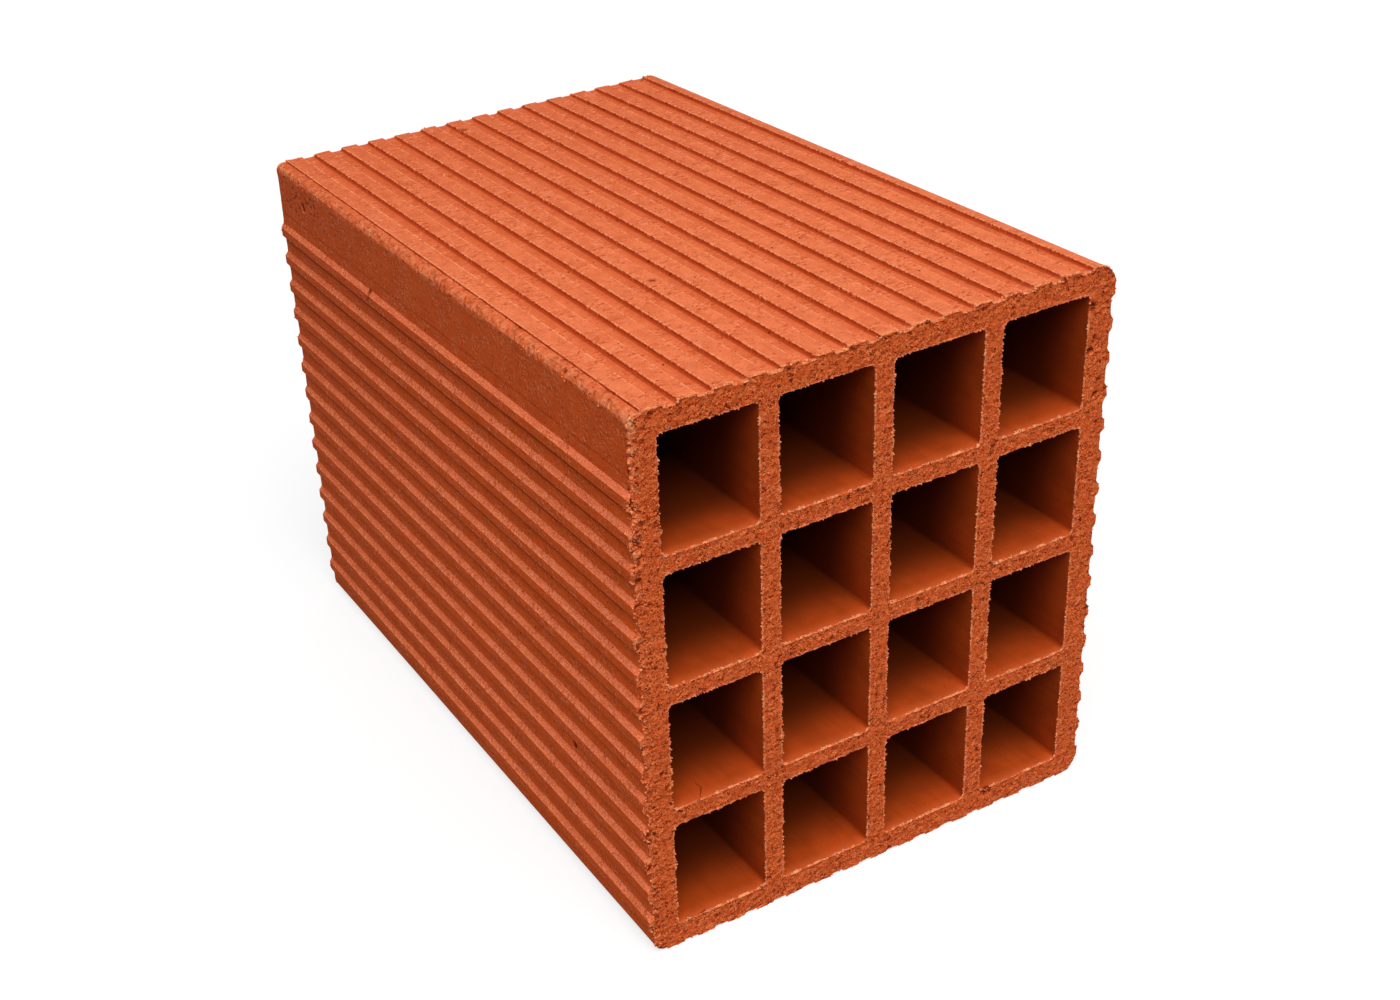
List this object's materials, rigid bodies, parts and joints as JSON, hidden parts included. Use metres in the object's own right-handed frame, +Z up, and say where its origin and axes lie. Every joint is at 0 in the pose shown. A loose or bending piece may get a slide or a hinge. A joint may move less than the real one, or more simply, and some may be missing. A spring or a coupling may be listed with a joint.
{
  "type": "hollow clay brick",
  "caption": "Extruded hollow clay brick with square through cells, grooved bed faces and ribbed side faces.",
  "frame": {"origin": "middle of the bottom bed face, on the floor", "axes": "+Z up, Y along the cells, X across them; the plain band of the left side face is on -X near the top"},
  "size_m": [0.2, 0.3, 0.22],
  "materials": {
    "fired_clay": "matt, unglazed, sandy"
  },
  "bodies": {
    "root": {"brick": "fired_clay"}
  },
  "joints": []
}
